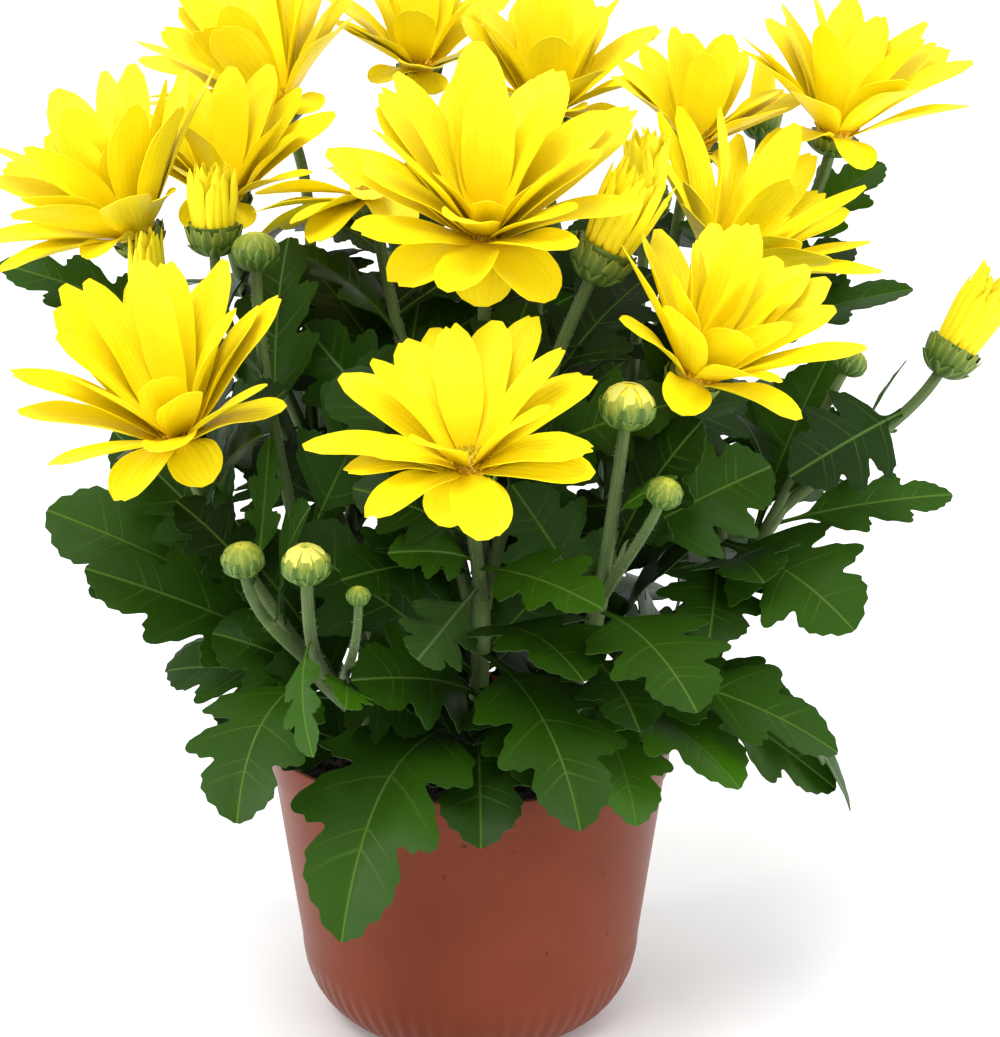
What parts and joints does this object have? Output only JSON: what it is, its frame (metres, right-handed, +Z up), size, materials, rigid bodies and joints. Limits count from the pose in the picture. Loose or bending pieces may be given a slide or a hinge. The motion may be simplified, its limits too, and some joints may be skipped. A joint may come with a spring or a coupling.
{
  "type": "pot chrysanthemum",
  "caption": "Bushy chrysanthemum with yellow daisy-like blooms, buds and cut green leaves, growing in soil in a thin terracotta-coloured plastic pot.",
  "frame": {"origin": "middle of the pot's flat foot, on the surface that it stands on", "axes": "+Z up, the longest extent; -Y towards the side that the picture shows, +X to its right"},
  "size_m": [0.2959, 0.2391, 0.3154],
  "materials": {
    "pot_plastic": "smooth reddish brown plastic with a soft sheen",
    "potting_soil": "loose moist dark potting soil",
    "foliage": "dark green leaves with paler veins, grey-green finely haired stems and striped green bracts",
    "petals": "soft vivid yellow petals with fine lengthwise furrows, golden at the centre"
  },
  "bodies": {
    "root": {"bloom_1": "petals", "bloom_10": "petals", "bloom_11": "petals", "bloom_12": "petals", "bloom_13": "petals", "bloom_2": "petals", "bloom_3": "petals", "bloom_4": "petals", "bloom_5": "petals", "bloom_6": "petals", "bloom_7": "petals", "bloom_8": "petals", "bloom_9": "petals", "head_1": "petals", "head_2": "petals", "head_3": "petals", "head_4": "petals", "head_5": "petals", "head_6": "petals", "leafy_stem_back_left": "foliage", "leafy_stem_back_right": "foliage", "leafy_stem_front_left": "foliage", "leafy_stem_front_middle": "foliage", "leafy_stem_front_right": "foliage", "pot": "pot_plastic", "soil": "potting_soil"}
  },
  "joints": []
}
